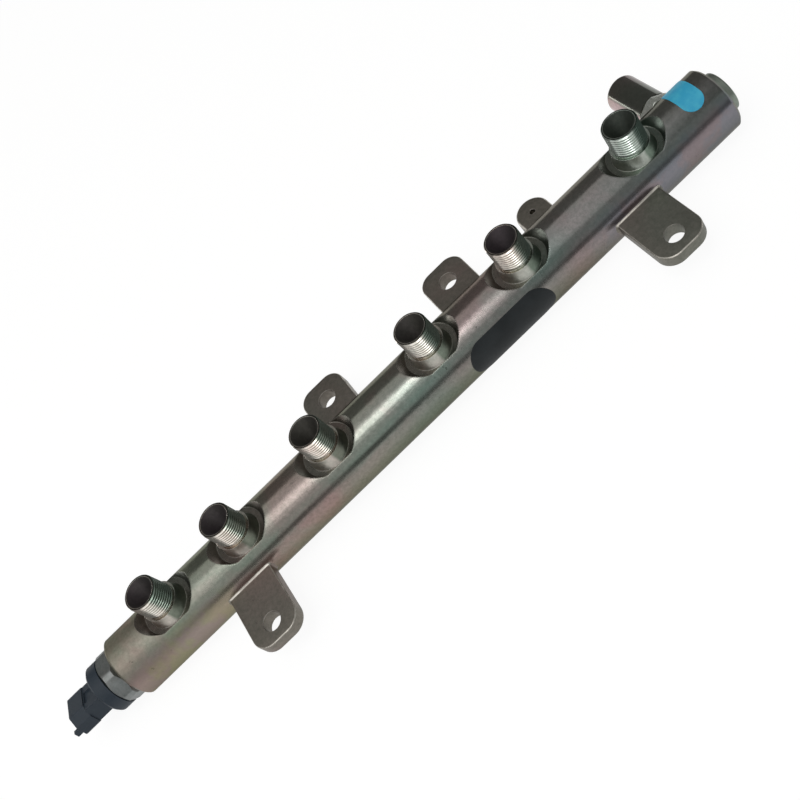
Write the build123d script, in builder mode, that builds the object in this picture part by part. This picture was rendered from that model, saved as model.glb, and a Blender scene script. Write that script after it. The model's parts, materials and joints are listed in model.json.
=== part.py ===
from build123d import *
import os
from math import cos, degrees, hypot, pi, radians, sin, sqrt, tan

os.makedirs("parts", exist_ok=True)

# Diesel common rail: a forged tube with six threaded outlet nipples, four mounting lugs,
# a pressure sensor in one end, a plug in the other and a relief valve in the side.
# +X runs along the rail from the sensor to the plug, +Z along the nipples, and +Y towards
# the relief valve. The origin is on the rail's axis at the middle of the forging.
# All lengths are in millimetres and all angles in degrees.

# ---- Rail tube ----
rail_length = 398.0
rail_radius = 17.5
rail_end_chamfer = 1.2
gallery_radius = 5.0

# ---- Outlet nipples: places along the rail, then the turned and bored shape ----
outlets_from_sensor_end = [39.2, 89.0]
outlets_from_middle = [-50.1, 18.7, 77.2]
outlets_from_plug_end = [47.2]
spotface_depth = 4.8
spotface_radius = 14.3
spotface_wall_angle = 38.0
nipple_base_radius = 11.4
nipple_shoulder_radius = 10.1
nipple_shoulder_rise = 1.9
nipple_flare_sag = 0.4
nipple_undercut_radius = 8.7
nipple_undercut_length = 0.8
nipple_thread_radius = 9.0
nipple_thread_length = 12.6
nipple_lead_chamfer = 0.4
nipple_seat_rim = 0.8
nipple_seat_half_angle = 30.0
outlet_bore_radius = 2.0

# ---- Mounting lugs ----
lug_top = 3.0
lug_thickness = 7.0
lug_hole_radius = 5.0
lug_edge_round = 0.8
lug_root_fillet = 1.6
near_lug_hole_offset = 44.0
near_lug_half_width = 13.3
near_lug_end_margin = 10.4
near_lug_corner_radius = 9.0
near_lug_from_sensor_end = 77.1
near_lug_from_plug_end = 64.5
far_lug_hole_offset = 34.0
far_lug_half_width = 13.0
far_lug_end_margin = 12.8
far_lug_corner_radius = 8.0
far_lugs_from_middle = [-37.4, 47.6]

# ---- Blind boss beside the far lugs ----
boss_from_middle = 101.1
boss_offset = 26.4
boss_radius = 9.05
boss_top = 4.0
boss_thickness = 9.0
boss_edge_round = 1.2
boss_drill_radius = 1.6
boss_drill_depth = 3.0

# ---- Threaded end ports, for the sensor and the plug ----
thread_clearance = 0.05
end_port_depth = 16.0
end_thread_radius = 9.0
plug_head_radius = 11.0
plug_head_height = 4.8
plug_head_chamfer = 0.6
plug_tip_gap = 0.3
plug_key_across_flats = 10.0
plug_key_depth = 8.0

# ---- Pressure sensor, measured outwards from the rail's sensor end ----
sensor_stand_off = 1.0
sensor_neck_radius = 8.5
sensor_hex_across_flats = 27.0
sensor_hex_height = 8.4
sensor_hex_corner_radius = 14.7
sensor_hex_chamfer = 1.4
sensor_hex_turn = 3.0
sensor_channel_radius = 2.0
sensor_pocket_radius = 11.0
sensor_pocket_depth = 7.9
cell_radius = 5.0
cell_height = 2.4
cell_cavity_radius = 2.6
membrane_thickness = 0.5
carrier_height = 2.5
carrier_wall = 4.0
board_radius = 10.0
board_thickness = 1.2
pocket_clearance = 0.05
seal_wire_radius = 0.75
seal_clearance = 0.02
seal_depth_below_flange = 1.9
connector_chamber_radius = 7.5
connector_chamber_depth = 3.0
connector_flange_radius = 14.0
connector_flange_height = 7.6
connector_flange_bevel = 1.4
connector_root_length = 10.4
connector_root_inset = 0.6
connector_length = 20.1
connector_half_width = 9.6
connector_half_height = 5.8
connector_key_chamfer = 4.5
connector_corner_chamfer = 1.0
connector_turn = 16.5
connector_wall = 1.8
socket_depth = 12.0
latch_length = 8.0
latch_width = 8.0
latch_depth = 1.2
latch_from_flange = 1.6
nub_length = 3.2
nub_width = 2.4
nub_height = 3.0
terminal_count = 3
terminal_pitch = 4.2
terminal_width = 1.6
terminal_thickness = 0.8
terminal_reach = 7.0

# ---- Relief valve, measured outwards from the rail's axis ----
valve_from_plug_end = 20.9
valve_droop = 6.0
valve_seat_face = 9.0
valve_inlet_radius = 1.5
valve_thread_radius = 6.0
valve_spotface = 15.5
valve_spotface_clearance = 0.4
valve_hex_across_flats = 19.0
valve_hex_height = 5.6
valve_hex_corner_radius = 10.6
valve_hex_chamfer = 0.5
valve_hex_turn = 30.0
valve_groove_radius = 8.6
valve_groove_width = 1.0
valve_spigot_length = 4.9
sleeve_radius = 9.5
sleeve_wall = 2.0
sleeve_length = 29.4
sleeve_end_wall = 3.0
sleeve_end_round = 1.8
spigot_clearance = 0.05
guide_radius = 4.0
guide_clearance = 0.05
seat_height = 3.0
seat_clearance = 0.02
seat_step = 3.0
seat_orifice_radius = 1.2
seat_mouth_radius = 2.8
seat_half_angle = 45.0
seat_film = 0.05
piston_neck_length = 0.6
piston_head_gap = 0.4
piston_head_radius = 6.2
piston_head_height = 1.5
piston_stem_radius = 3.0
piston_stem_length = 3.1
piston_flute_count = 3
piston_flute_radius = 1.0
spring_wire_radius = 0.6
spring_mean_radius = 4.5
spring_turns = 6
spring_end_clearance = 0.05
shim_thickness = 1.6
shim_clearance = 0.2
shim_hole_radius = 1.5

# ---- Labels, thin skins on the rail ----
label_thickness = 0.2
oval_label_from_middle = 53.0
oval_label_length = 52.0
oval_label_height = 20.0
blue_label_from_plug_end = 13.8
blue_label_width = 11.8
blue_label_near_angle = 37.0
blue_label_far_angle = -54.0

# ---- Places worked out from the sizes above ----
sensor_end_x = -rail_length / 2
plug_end_x = rail_length / 2
outlet_places = (
    [sensor_end_x + distance for distance in outlets_from_sensor_end]
    + outlets_from_middle
    + [plug_end_x - distance for distance in outlets_from_plug_end]
)
near_lug_places = [sensor_end_x + near_lug_from_sensor_end, plug_end_x - near_lug_from_plug_end]
valve_x = plug_end_x - valve_from_plug_end
end_port_radius = end_thread_radius + thread_clearance
sensor_plane = Plane(origin=(sensor_end_x, 0, 0), x_dir=(0, -1, 0), z_dir=(-1, 0, 0))
plug_plane = Plane(origin=(plug_end_x, 0, 0), x_dir=(0, 1, 0), z_dir=(1, 0, 0))
valve_plane = Plane(
    origin=(valve_x, 0, 0),
    x_dir=(1, 0, 0),
    z_dir=(0, cos(radians(valve_droop)), -sin(radians(valve_droop))),
)


def chamfered_hexagon(base, across_flats, height, corner_radius, corner_chamfer, turn):
    """A hexagon block standing on the plane base, with its corners turned round at both ends."""
    with BuildPart() as turned:
        with BuildSketch(base):
            Circle(corner_radius)
        extrude(amount=height)
        chamfer(turned.edges().filter_by(GeomType.CIRCLE), length=corner_chamfer)
    with BuildPart() as hexagon:
        with BuildSketch(base):
            RegularPolygon(across_flats / 2, 6, major_radius=False, rotation=turn)
        extrude(amount=height)
        add(turned.part, mode=Mode.INTERSECT)
    return hexagon.part


# ---- Rail body: one forging with its nipples, lugs and boss ----
near_lug_reach = near_lug_hole_offset + near_lug_end_margin
far_lug_reach = far_lug_hole_offset + far_lug_end_margin
lug_root_reach = lug_edge_round / 2
nipple_shoulder_top = rail_radius + nipple_shoulder_rise
nipple_thread_start = nipple_shoulder_top + nipple_undercut_length
nipple_mouth = nipple_thread_start + nipple_thread_length + nipple_lead_chamfer
nipple_rim_radius = nipple_thread_radius - nipple_lead_chamfer
nipple_seat_radius = nipple_rim_radius - nipple_seat_rim
nipple_seat_depth = (nipple_seat_radius - outlet_bore_radius) / tan(radians(nipple_seat_half_angle))
spotface_floor = rail_radius - spotface_depth
spotface_cut_height = 2 * spotface_depth
spotface_top_radius = spotface_radius + spotface_cut_height * tan(radians(spotface_wall_angle))
valve_spotface_radius = valve_hex_corner_radius + valve_spotface_clearance

# Flat lugs with rounded outer corners, two on the near side and two on the far side.
with BuildPart() as lugs:
    with BuildSketch(Plane.XY.offset(lug_top - lug_thickness)) as near_outlines:
        for lug_x in near_lug_places:
            with Locations((lug_x, -near_lug_reach / 2)):
                Rectangle(2 * near_lug_half_width, near_lug_reach)
        fillet(near_outlines.vertices().group_by(Axis.Y)[0], near_lug_corner_radius)
    with BuildSketch(Plane.XY.offset(lug_top - lug_thickness)) as far_outlines:
        for lug_x in far_lugs_from_middle:
            with Locations((lug_x, far_lug_reach / 2)):
                Rectangle(2 * far_lug_half_width, far_lug_reach)
        fillet(far_outlines.vertices().group_by(Axis.Y)[-1], far_lug_corner_radius)
    extrude(amount=lug_thickness)
    lug_edges = lugs.edges().group_by(Axis.Z)
    fillet(lug_edges[0] + lug_edges[-1], lug_edge_round)

# The boss is a round pad joined to the tube by a web of its own width.
with BuildPart() as boss:
    with BuildSketch(Plane.XY.offset(boss_top - boss_thickness)):
        with Locations((boss_from_middle, boss_offset / 2)):
            Rectangle(2 * boss_radius, boss_offset)
        with Locations((boss_from_middle, boss_offset)):
            Circle(boss_radius)
    extrude(amount=boss_thickness)
    fillet(boss.edges().group_by(Axis.Z)[-1], boss_edge_round)

with BuildPart() as rail_body:
    with BuildSketch(plug_plane.offset(-rail_length)):
        Circle(rail_radius)
    extrude(amount=rail_length)
    chamfer(rail_body.edges().filter_by(GeomType.CIRCLE), length=rail_end_chamfer)

    # A milled ring around each nipple, with a sloping wall.
    for outlet_x in outlet_places:
        with Locations((outlet_x, 0, spotface_floor)):
            Cone(
                spotface_radius,
                spotface_top_radius,
                spotface_cut_height,
                align=(Align.CENTER, Align.CENTER, Align.MIN),
                mode=Mode.SUBTRACT,
            )
    # The lugs blend into the tube all round their roots.
    add(lugs.part)
    lug_roots = [
        edge
        for edge in rail_body.edges()
        if abs(hypot(edge.center().Y, edge.center().Z) - rail_radius) < lug_root_reach
        and abs(edge.center().Z) < lug_thickness
        and edge.length < pi * rail_radius
        and not (edge.geom_type == GeomType.LINE and abs(edge.center().Z) < lug_root_reach)
    ]
    fillet(lug_roots, lug_root_fillet)
    add(boss.part)

    # Nipples, turned about their own upright axes.
    for outlet_x in outlet_places:
        with BuildSketch(Plane(origin=(outlet_x, 0, 0), x_dir=(1, 0, 0), z_dir=(0, -1, 0))):
            with BuildLine():
                Line((0, 0), (nipple_base_radius, 0))
                Line((nipple_base_radius, 0), (nipple_base_radius, spotface_floor))
                SagittaArc(
                    (nipple_base_radius, spotface_floor),
                    (nipple_shoulder_radius, nipple_shoulder_top),
                    nipple_flare_sag,
                )
                Polyline(
                    (nipple_shoulder_radius, nipple_shoulder_top),
                    (nipple_undercut_radius, nipple_shoulder_top),
                    (nipple_undercut_radius, nipple_thread_start),
                    (nipple_thread_radius, nipple_thread_start),
                    (nipple_thread_radius, nipple_mouth - nipple_lead_chamfer),
                    (nipple_rim_radius, nipple_mouth),
                    (0, nipple_mouth),
                    (0, 0),
                )
            make_face()
        revolve(axis=Axis((outlet_x, 0, 0), (0, 0, 1)))

    # Lug holes and the boss's blind drilling.
    with BuildSketch(Plane.XY.offset(lug_top)):
        with Locations([(lug_x, -near_lug_hole_offset) for lug_x in near_lug_places]):
            Circle(lug_hole_radius)
        with Locations([(lug_x, far_lug_hole_offset) for lug_x in far_lugs_from_middle]):
            Circle(lug_hole_radius)
    extrude(amount=-lug_thickness, mode=Mode.SUBTRACT)
    with BuildSketch(Plane.XY.offset(boss_top)):
        with Locations((boss_from_middle, boss_offset)):
            Circle(boss_drill_radius)
    extrude(amount=-boss_drill_depth, mode=Mode.SUBTRACT)

    # The fuel gallery joins the two threaded end ports.
    with BuildSketch(plug_plane):
        Circle(gallery_radius)
    extrude(amount=-rail_length, mode=Mode.SUBTRACT)
    with BuildSketch(plug_plane, sensor_plane):
        Circle(end_port_radius)
    extrude(amount=-end_port_depth, mode=Mode.SUBTRACT)

    # Each nipple is bored down to the gallery and opens in a conical pipe seat.
    for outlet_x in outlet_places:
        with BuildSketch(Plane((outlet_x, 0, 0))):
            Circle(outlet_bore_radius)
        extrude(amount=nipple_mouth, mode=Mode.SUBTRACT)
        with Locations((outlet_x, 0, nipple_mouth)):
            Cone(
                outlet_bore_radius,
                nipple_seat_radius,
                nipple_seat_depth,
                align=(Align.CENTER, Align.CENTER, Align.MAX),
                mode=Mode.SUBTRACT,
            )

    # The relief valve's port: inlet drilling, threaded hole and spotface on the flank.
    with BuildSketch(valve_plane):
        Circle(valve_inlet_radius)
    extrude(amount=valve_seat_face, mode=Mode.SUBTRACT)
    with BuildSketch(valve_plane.offset(valve_seat_face)):
        Circle(valve_thread_radius + thread_clearance)
    extrude(amount=rail_radius, mode=Mode.SUBTRACT)
    with BuildSketch(valve_plane.offset(valve_spotface)):
        Circle(valve_spotface_radius)
    extrude(amount=rail_radius, mode=Mode.SUBTRACT)

rail_body.part.label = "rail_body"
export_step(rail_body.part, "parts/rail_body.step")


# ---- End plug: a threaded stub with a low round head and a hexagon socket ----
with BuildPart() as end_plug:
    with BuildSketch(plug_plane):
        Circle(plug_head_radius)
    extrude(amount=plug_head_height)
    chamfer(end_plug.edges().group_by(Axis.X)[-1], length=plug_head_chamfer)
    with BuildSketch(plug_plane):
        Circle(end_thread_radius)
    extrude(amount=plug_tip_gap - end_port_depth)
    with BuildSketch(plug_plane.offset(plug_head_height)):
        RegularPolygon(plug_key_across_flats / 2, 6, major_radius=False)
    extrude(amount=-plug_key_depth, mode=Mode.SUBTRACT)

end_plug.part.label = "end_plug"
export_step(end_plug.part, "parts/end_plug.step")


# ---- Sensor housing: hexagon, thread and an open pocket for the measuring parts ----
sensor_hex_top = sensor_stand_off + sensor_hex_height
pocket_floor = sensor_hex_top - sensor_pocket_depth
sensor_hexagon = chamfered_hexagon(
    sensor_plane.offset(sensor_stand_off),
    sensor_hex_across_flats,
    sensor_hex_height,
    sensor_hex_corner_radius,
    sensor_hex_chamfer,
    sensor_hex_turn,
)

with BuildPart() as sensor_housing:
    add(sensor_hexagon)
    with BuildSketch(sensor_plane.offset(sensor_stand_off)):
        Circle(sensor_neck_radius)
    extrude(amount=-sensor_stand_off)
    with BuildSketch(sensor_plane):
        Circle(end_thread_radius)
    extrude(amount=-end_port_depth)
    with BuildSketch(sensor_plane.offset(sensor_hex_top)):
        Circle(sensor_pocket_radius)
    extrude(amount=-sensor_pocket_depth, mode=Mode.SUBTRACT)
    with BuildSketch(sensor_plane.offset(pocket_floor)):
        Circle(sensor_channel_radius)
    extrude(amount=-pocket_floor - end_port_depth, mode=Mode.SUBTRACT)

sensor_housing.part.label = "sensor_housing"
export_step(sensor_housing.part, "parts/sensor_housing.step")


# ---- Measuring cell: a steel cup whose thin top bends with the fuel pressure ----
with BuildPart() as sensor_cell:
    with BuildSketch(sensor_plane.offset(pocket_floor)):
        Circle(cell_radius)
    extrude(amount=cell_height)
    with BuildSketch(sensor_plane.offset(pocket_floor)):
        Circle(cell_cavity_radius)
    extrude(amount=cell_height - membrane_thickness, mode=Mode.SUBTRACT)

sensor_cell.part.label = "sensor_cell"
export_step(sensor_cell.part, "parts/sensor_cell.step")


# ---- Carrier ring, and the circuit board that lies on it ----
carrier_radius = sensor_pocket_radius - pocket_clearance
board_seat = pocket_floor + carrier_height
board_top = board_seat + board_thickness

with BuildPart() as sensor_carrier:
    with BuildSketch(sensor_plane.offset(pocket_floor)):
        Circle(carrier_radius)
        Circle(carrier_radius - carrier_wall, mode=Mode.SUBTRACT)
    extrude(amount=carrier_height)

sensor_carrier.part.label = "sensor_carrier"
export_step(sensor_carrier.part, "parts/sensor_carrier.step")

with BuildPart() as sensor_board:
    with BuildSketch(sensor_plane.offset(board_seat)):
        Circle(board_radius)
    extrude(amount=board_thickness)

sensor_board.part.label = "sensor_board"
export_step(sensor_board.part, "parts/sensor_board.step")


# ---- Connector: one plastic moulding with a spigot, a flange and a keyed socket ----
connector_across = (0, -cos(radians(connector_turn)), sin(radians(connector_turn)))
connector_plane = Plane(origin=sensor_plane.origin, x_dir=connector_across, z_dir=(-1, 0, 0))
flange_top = sensor_hex_top + connector_flange_height
connector_end = flange_top + connector_length
socket_floor = connector_end - socket_depth
socket_key_chamfer = connector_key_chamfer - (2 - sqrt(2)) * connector_wall
seal_centre = sensor_hex_top - seal_depth_below_flange
seal_half_space = seal_wire_radius + seal_clearance
seal_groove_radius = sensor_pocket_radius - 2 * seal_half_space
terminal_offsets = [
    (index - (terminal_count - 1) / 2) * terminal_pitch for index in range(terminal_count)
]

with BuildPart() as sensor_connector:
    with BuildSketch(sensor_plane.offset(sensor_hex_top)):
        Circle(connector_flange_radius)
    extrude(amount=connector_flange_height)
    chamfer(sensor_connector.edges().group_by(Axis.X)[0], length=connector_flange_bevel)

    # The spigot has a groove for the seal ring and a chamber over the board.
    with BuildSketch(sensor_plane.offset(board_top)):
        Circle(carrier_radius)
    extrude(amount=sensor_hex_top - board_top)
    with BuildSketch(sensor_plane.offset(board_top)):
        Circle(connector_chamber_radius)
    extrude(amount=connector_chamber_depth, mode=Mode.SUBTRACT)
    with BuildSketch(sensor_plane.offset(seal_centre - seal_half_space)):
        Circle(sensor_pocket_radius)
        Circle(seal_groove_radius, mode=Mode.SUBTRACT)
    extrude(amount=2 * seal_half_space, mode=Mode.SUBTRACT)

    # The block is a little slimmer next to the flange and has one large keying chamfer.
    with BuildSketch(connector_plane.offset(flange_top)):
        Rectangle(
            2 * (connector_half_width - connector_root_inset),
            2 * (connector_half_height - connector_root_inset),
        )
    extrude(amount=connector_root_length)
    with BuildSketch(connector_plane.offset(flange_top + connector_root_length)) as block:
        Rectangle(2 * connector_half_width, 2 * connector_half_height)
        block_corners = block.vertices().sort_by(lambda corner: corner.X + corner.Y)
        chamfer(block_corners[-1], length=connector_key_chamfer)
        plain_corners = block.vertices().sort_by(lambda corner: corner.X + corner.Y)[0:-2]
        chamfer(plain_corners, length=connector_corner_chamfer)
    extrude(amount=connector_length - connector_root_length)
    with BuildSketch(connector_plane.offset(connector_end)):
        with Locations((connector_half_width - nub_width / 2, -nub_height / 2)):
            Rectangle(nub_width, nub_height)
    extrude(amount=nub_length)

    # The socket follows the block's outline, so its wall is as thick at the keying chamfer,
    # and the latch recess stays in the wall without opening into the socket.
    with BuildSketch(connector_plane.offset(connector_end)) as socket:
        Rectangle(
            2 * (connector_half_width - connector_wall),
            2 * (connector_half_height - connector_wall),
        )
        socket_corners = socket.vertices().sort_by(lambda corner: corner.X + corner.Y)
        chamfer(socket_corners[-1], length=socket_key_chamfer)
    extrude(amount=-socket_depth, mode=Mode.SUBTRACT)
    with BuildSketch(connector_plane.offset(flange_top + latch_from_flange)):
        with Locations((0, connector_half_height)):
            Rectangle(latch_width, 2 * latch_depth)
    extrude(amount=latch_length, mode=Mode.SUBTRACT)
    with BuildSketch(connector_plane.offset(board_top)):
        with Locations([(offset, 0) for offset in terminal_offsets]):
            Rectangle(terminal_width, terminal_thickness)
    extrude(amount=socket_floor - board_top, mode=Mode.SUBTRACT)

sensor_connector.part.label = "sensor_connector"
export_step(sensor_connector.part, "parts/sensor_connector.step")


# ---- Terminals: flat blades from the board, through the moulding, into the socket ----
for index, offset in enumerate(terminal_offsets, start=1):
    with BuildPart() as terminal:
        with BuildSketch(connector_plane.offset(board_top)):
            with Locations((offset, 0)):
                Rectangle(terminal_width, terminal_thickness)
        extrude(amount=socket_floor + terminal_reach - board_top)
    terminal.part.label = f"sensor_terminal_{index}"
    export_step(terminal.part, f"parts/sensor_terminal_{index}.step")


# ---- Seal ring between the connector's spigot and the housing's pocket ----
with BuildPart() as sensor_seal:
    with Locations(sensor_plane.offset(seal_centre).location):
        Torus(sensor_pocket_radius - seal_half_space, seal_wire_radius)

sensor_seal.part.label = "sensor_seal"
export_step(sensor_seal.part, "parts/sensor_seal.step")


# ---- Relief valve body: thread, hexagon and a hollow spigot that guides the piston ----
valve_hex_top = valve_spotface + valve_hex_height
sleeve_start = valve_hex_top + valve_groove_width
spigot_end = sleeve_start + valve_spigot_length
seat_base = valve_seat_face + seat_step
seat_top = seat_base + seat_height
sleeve_bore_radius = sleeve_radius - sleeve_wall
valve_hexagon = chamfered_hexagon(
    valve_plane.offset(valve_spotface),
    valve_hex_across_flats,
    valve_hex_height,
    valve_hex_corner_radius,
    valve_hex_chamfer,
    valve_hex_turn,
)

with BuildPart() as relief_valve_body:
    add(valve_hexagon)
    with BuildSketch(valve_plane.offset(valve_seat_face)):
        Circle(valve_thread_radius)
    extrude(amount=valve_spotface - valve_seat_face)
    with BuildSketch(valve_plane.offset(valve_hex_top)):
        Circle(valve_groove_radius)
    extrude(amount=valve_groove_width)
    with BuildSketch(valve_plane.offset(sleeve_start)):
        Circle(sleeve_bore_radius - spigot_clearance)
    extrude(amount=valve_spigot_length)
    with BuildSketch(valve_plane.offset(valve_seat_face)):
        Circle(valve_inlet_radius)
    extrude(amount=seat_step, mode=Mode.SUBTRACT)
    with BuildSketch(valve_plane.offset(seat_base)):
        Circle(guide_radius)
    extrude(amount=spigot_end - seat_base, mode=Mode.SUBTRACT)

relief_valve_body.part.label = "relief_valve_body"
export_step(relief_valve_body.part, "parts/relief_valve_body.step")


# ---- Relief valve sleeve: a closed cup with a rounded end, pushed over the spigot ----
with BuildPart() as relief_valve_sleeve:
    with BuildSketch(valve_plane.offset(sleeve_start)):
        Circle(sleeve_radius)
    extrude(amount=sleeve_length)
    fillet(relief_valve_sleeve.edges().group_by(Axis.Y)[-1], sleeve_end_round)
    with BuildSketch(valve_plane.offset(sleeve_start)):
        Circle(sleeve_bore_radius)
    extrude(amount=sleeve_length - sleeve_end_wall, mode=Mode.SUBTRACT)

relief_valve_sleeve.part.label = "relief_valve_sleeve"
export_step(relief_valve_sleeve.part, "parts/relief_valve_sleeve.step")


# ---- Seat insert: a hardened ring with a conical mouth ----
seat_cone_height = (seat_mouth_radius - seat_orifice_radius) / tan(radians(seat_half_angle))

with BuildPart() as relief_valve_seat:
    with BuildSketch(valve_plane.offset(seat_base)):
        Circle(guide_radius - seat_clearance)
        Circle(seat_orifice_radius, mode=Mode.SUBTRACT)
    extrude(amount=seat_height)
    with Locations(valve_plane.offset(seat_top).location):
        Cone(
            seat_orifice_radius,
            seat_mouth_radius,
            seat_cone_height,
            align=(Align.CENTER, Align.CENTER, Align.MAX),
            mode=Mode.SUBTRACT,
        )

relief_valve_seat.part.label = "relief_valve_seat"
export_step(relief_valve_seat.part, "parts/relief_valve_seat.step")


# ---- Piston: a conical tip, a fluted guide, a spring plate and a spring guide ----
piston_radius = guide_radius - guide_clearance
piston_cone_top = seat_top + seat_film
piston_guide_start = piston_cone_top + piston_neck_length
piston_head_start = spigot_end + piston_head_gap
spring_start = piston_head_start + piston_head_height
valve_section = Plane(origin=valve_plane.origin, x_dir=valve_plane.z_dir, z_dir=valve_plane.y_dir)

with BuildPart() as relief_valve_piston:
    with BuildSketch(valve_section):
        with BuildLine():
            Polyline(
                (piston_cone_top - seat_cone_height, 0),
                (piston_cone_top - seat_cone_height, seat_orifice_radius),
                (piston_cone_top, seat_mouth_radius),
                (piston_guide_start, seat_mouth_radius),
                (piston_guide_start, piston_radius),
                (piston_head_start, piston_radius),
                (piston_head_start, piston_head_radius),
                (spring_start, piston_head_radius),
                (spring_start, piston_stem_radius),
                (spring_start + piston_stem_length, piston_stem_radius),
                (spring_start + piston_stem_length, 0),
                close=True,
            )
        make_face()
    revolve(axis=Axis(valve_plane.origin, valve_plane.z_dir))
    with BuildSketch(valve_plane.offset(piston_guide_start)):
        with PolarLocations(piston_radius, piston_flute_count):
            Circle(piston_flute_radius)
    extrude(amount=piston_head_start - piston_guide_start, mode=Mode.SUBTRACT)

relief_valve_piston.part.label = "relief_valve_piston"
export_step(relief_valve_piston.part, "parts/relief_valve_piston.step")


# ---- Shim that sets the spring's load, and the coil spring itself ----
shim_start = sleeve_start + sleeve_length - sleeve_end_wall - shim_thickness

with BuildPart() as relief_valve_shim:
    with BuildSketch(valve_plane.offset(shim_start)):
        Circle(sleeve_bore_radius - shim_clearance)
        Circle(shim_hole_radius, mode=Mode.SUBTRACT)
    extrude(amount=shim_thickness)

relief_valve_shim.part.label = "relief_valve_shim"
export_step(relief_valve_shim.part, "parts/relief_valve_shim.step")

spring_rise = shim_start - spring_start - 2 * spring_wire_radius - 2 * spring_end_clearance

coil_base = valve_plane.offset(spring_start + spring_wire_radius + spring_end_clearance)

with BuildPart() as relief_valve_spring:
    with BuildLine():
        coil = Helix(
            spring_rise / spring_turns,
            spring_rise,
            spring_mean_radius,
            center=coil_base.origin,
            direction=coil_base.z_dir,
        )
    with BuildSketch(Plane(origin=coil @ 0, z_dir=coil % 0)):
        Circle(spring_wire_radius)
    sweep(is_frenet=True)

relief_valve_spring.part.label = "relief_valve_spring"
export_step(relief_valve_spring.part, "parts/relief_valve_spring.step")


# ---- Oval label, wrapped on the near flank ----
label_radius = rail_radius + label_thickness

with BuildPart() as oval_label:
    with BuildSketch(Plane.XZ):
        with Locations((oval_label_from_middle, 0)):
            SlotOverall(oval_label_length, oval_label_height)
    extrude(amount=label_radius)
    with BuildSketch(Plane.YZ.offset(oval_label_from_middle - oval_label_length / 2)):
        Circle(label_radius)
        Circle(rail_radius, mode=Mode.SUBTRACT)
    extrude(amount=oval_label_length, mode=Mode.INTERSECT)

oval_label.part.label = "oval_label"
export_step(oval_label.part, "parts/oval_label.step")


# ---- Blue label, a strip around the rail with two round ends ----
# Label angles are measured from +Z towards -Y, and a sketch on the YZ plane from +Y towards +Z.
blue_label_x = plug_end_x - blue_label_from_plug_end
blue_label_end_turn = degrees(blue_label_width / 2 / rail_radius)
blue_strip_start = 90 + blue_label_far_angle + blue_label_end_turn
blue_strip_end = 90 + blue_label_near_angle - blue_label_end_turn

with BuildPart() as blue_label:
    with BuildSketch(Plane.YZ.offset(blue_label_x - blue_label_width / 2)):
        with BuildLine():
            strip = CenterArc((0, 0), label_radius, blue_strip_start, blue_strip_end - blue_strip_start)
            Line(strip @ 1, (0, 0))
            Line((0, 0), strip @ 0)
        make_face()
    extrude(amount=blue_label_width)
    for angle in (blue_strip_start, blue_strip_end):
        outward = (0, cos(radians(angle)), sin(radians(angle)))
        with BuildSketch(Plane(origin=(blue_label_x, 0, 0), x_dir=(1, 0, 0), z_dir=outward)):
            Circle(blue_label_width / 2)
        extrude(amount=label_radius)
    with BuildSketch(Plane.YZ.offset(blue_label_x - blue_label_width / 2)):
        Circle(label_radius)
        Circle(rail_radius, mode=Mode.SUBTRACT)
    extrude(amount=blue_label_width, mode=Mode.INTERSECT)

blue_label.part.label = "blue_label"
export_step(blue_label.part, "parts/blue_label.step")
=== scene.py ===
import json
from math import cos, pi, radians, sin

import bmesh
import bpy
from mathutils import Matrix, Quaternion, Vector


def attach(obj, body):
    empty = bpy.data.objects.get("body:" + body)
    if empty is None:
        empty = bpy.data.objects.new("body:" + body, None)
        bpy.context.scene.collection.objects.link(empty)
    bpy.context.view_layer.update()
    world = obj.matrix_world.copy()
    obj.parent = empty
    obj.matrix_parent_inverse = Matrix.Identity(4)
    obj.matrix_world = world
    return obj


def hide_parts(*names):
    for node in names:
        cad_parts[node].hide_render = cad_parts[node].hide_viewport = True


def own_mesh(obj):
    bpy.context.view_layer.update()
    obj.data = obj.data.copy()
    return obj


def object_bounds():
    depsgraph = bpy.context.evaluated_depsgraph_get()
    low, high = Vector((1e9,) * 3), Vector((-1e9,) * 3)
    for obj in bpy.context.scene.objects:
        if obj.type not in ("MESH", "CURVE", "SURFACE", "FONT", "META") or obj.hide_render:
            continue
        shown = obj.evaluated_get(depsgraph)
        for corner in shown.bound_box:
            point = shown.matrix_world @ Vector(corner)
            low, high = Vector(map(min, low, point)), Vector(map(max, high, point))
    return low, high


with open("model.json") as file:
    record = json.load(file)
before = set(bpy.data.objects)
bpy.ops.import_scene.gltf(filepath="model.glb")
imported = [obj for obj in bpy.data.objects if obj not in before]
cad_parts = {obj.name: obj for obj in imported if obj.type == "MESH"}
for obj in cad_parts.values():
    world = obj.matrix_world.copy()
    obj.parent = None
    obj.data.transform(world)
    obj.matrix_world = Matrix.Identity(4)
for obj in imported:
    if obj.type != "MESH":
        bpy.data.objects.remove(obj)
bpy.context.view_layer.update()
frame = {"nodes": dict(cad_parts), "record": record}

# Rail body: one steel forging, zinc plated all over after machining. The tube and lugs keep
# the forged skin, and the nipples, milled rings and pipe seats are turned or milled.
# Bolts through its four flat lugs hold it to the engine's bracket.
MM = 0.001
TUBE_RADIUS = 17.5 * MM
OUTLET_PLACES = [
    mount["pos_m"][0] for mount in frame["record"]["mounts"] if mount["name"].startswith("outlet")
]
THREAD_RADIUS = 9.0 * MM
THREAD_FOOT = 20.2 * MM
THREAD_TOP = 32.8 * MM
NIPPLE_MOUTH = 33.2 * MM
NIPPLE_BASE_RADIUS = 11.4 * MM
FLARE_TOP = 19.4 * MM
RING_RADIUS = 18.2 * MM
RING_FLOOR = 12.7 * MM
THREADED_SKIN = 0.42 * MM
SEAT_RIM = 1.25 * MM
TUBE_TOLERANCE = 0.12 * MM
LUG_START = 0.9 * TUBE_RADIUS
NEAR = 0.05 * MM
JOIN_DISTANCE = 0.002 * MM


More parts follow.
